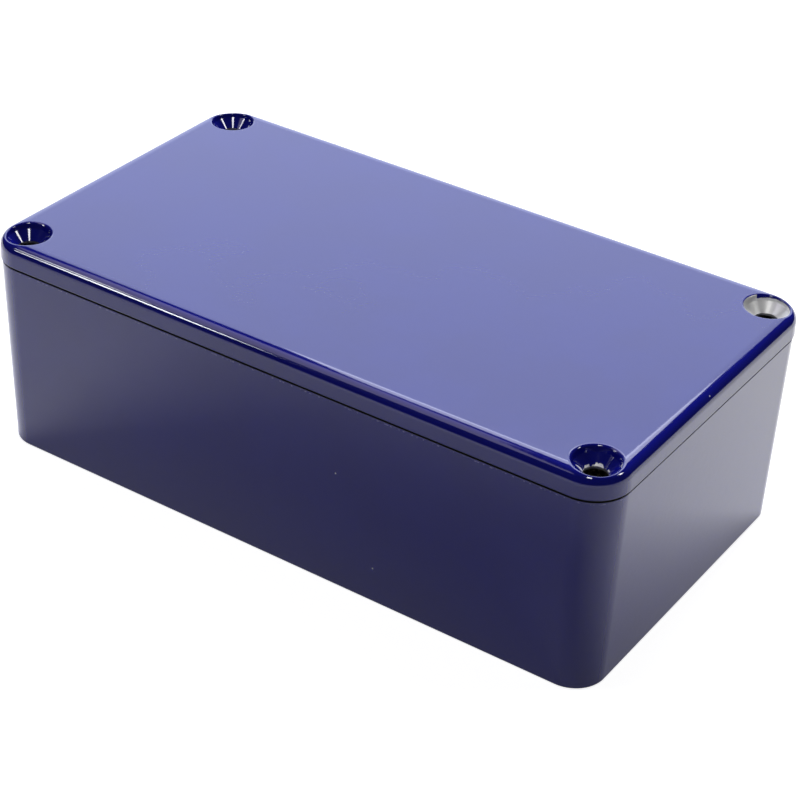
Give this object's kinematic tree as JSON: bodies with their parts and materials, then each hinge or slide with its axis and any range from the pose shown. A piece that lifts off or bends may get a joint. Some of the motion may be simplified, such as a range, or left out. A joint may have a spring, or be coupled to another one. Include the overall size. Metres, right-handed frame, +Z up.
{
  "type": "die cast aluminium enclosure",
  "caption": "Rectangular die cast aluminium box with drafted sides, rounded corners and a flat lid with countersunk screw holes at its corners.",
  "frame": {"origin": "middle of the underside of the box", "axes": "+X along the length, +Y along the width, +Z up through the lid"},
  "size_m": [0.1204, 0.066, 0.04],
  "materials": {
    "box_paint": "deep navy gloss powder coat",
    "lid_paint": "deep navy gloss powder coat, worn through to bright aluminium in one countersink"
  },
  "bodies": {
    "root": {"box_body": "box_paint", "lid": "lid_paint"}
  },
  "joints": []
}
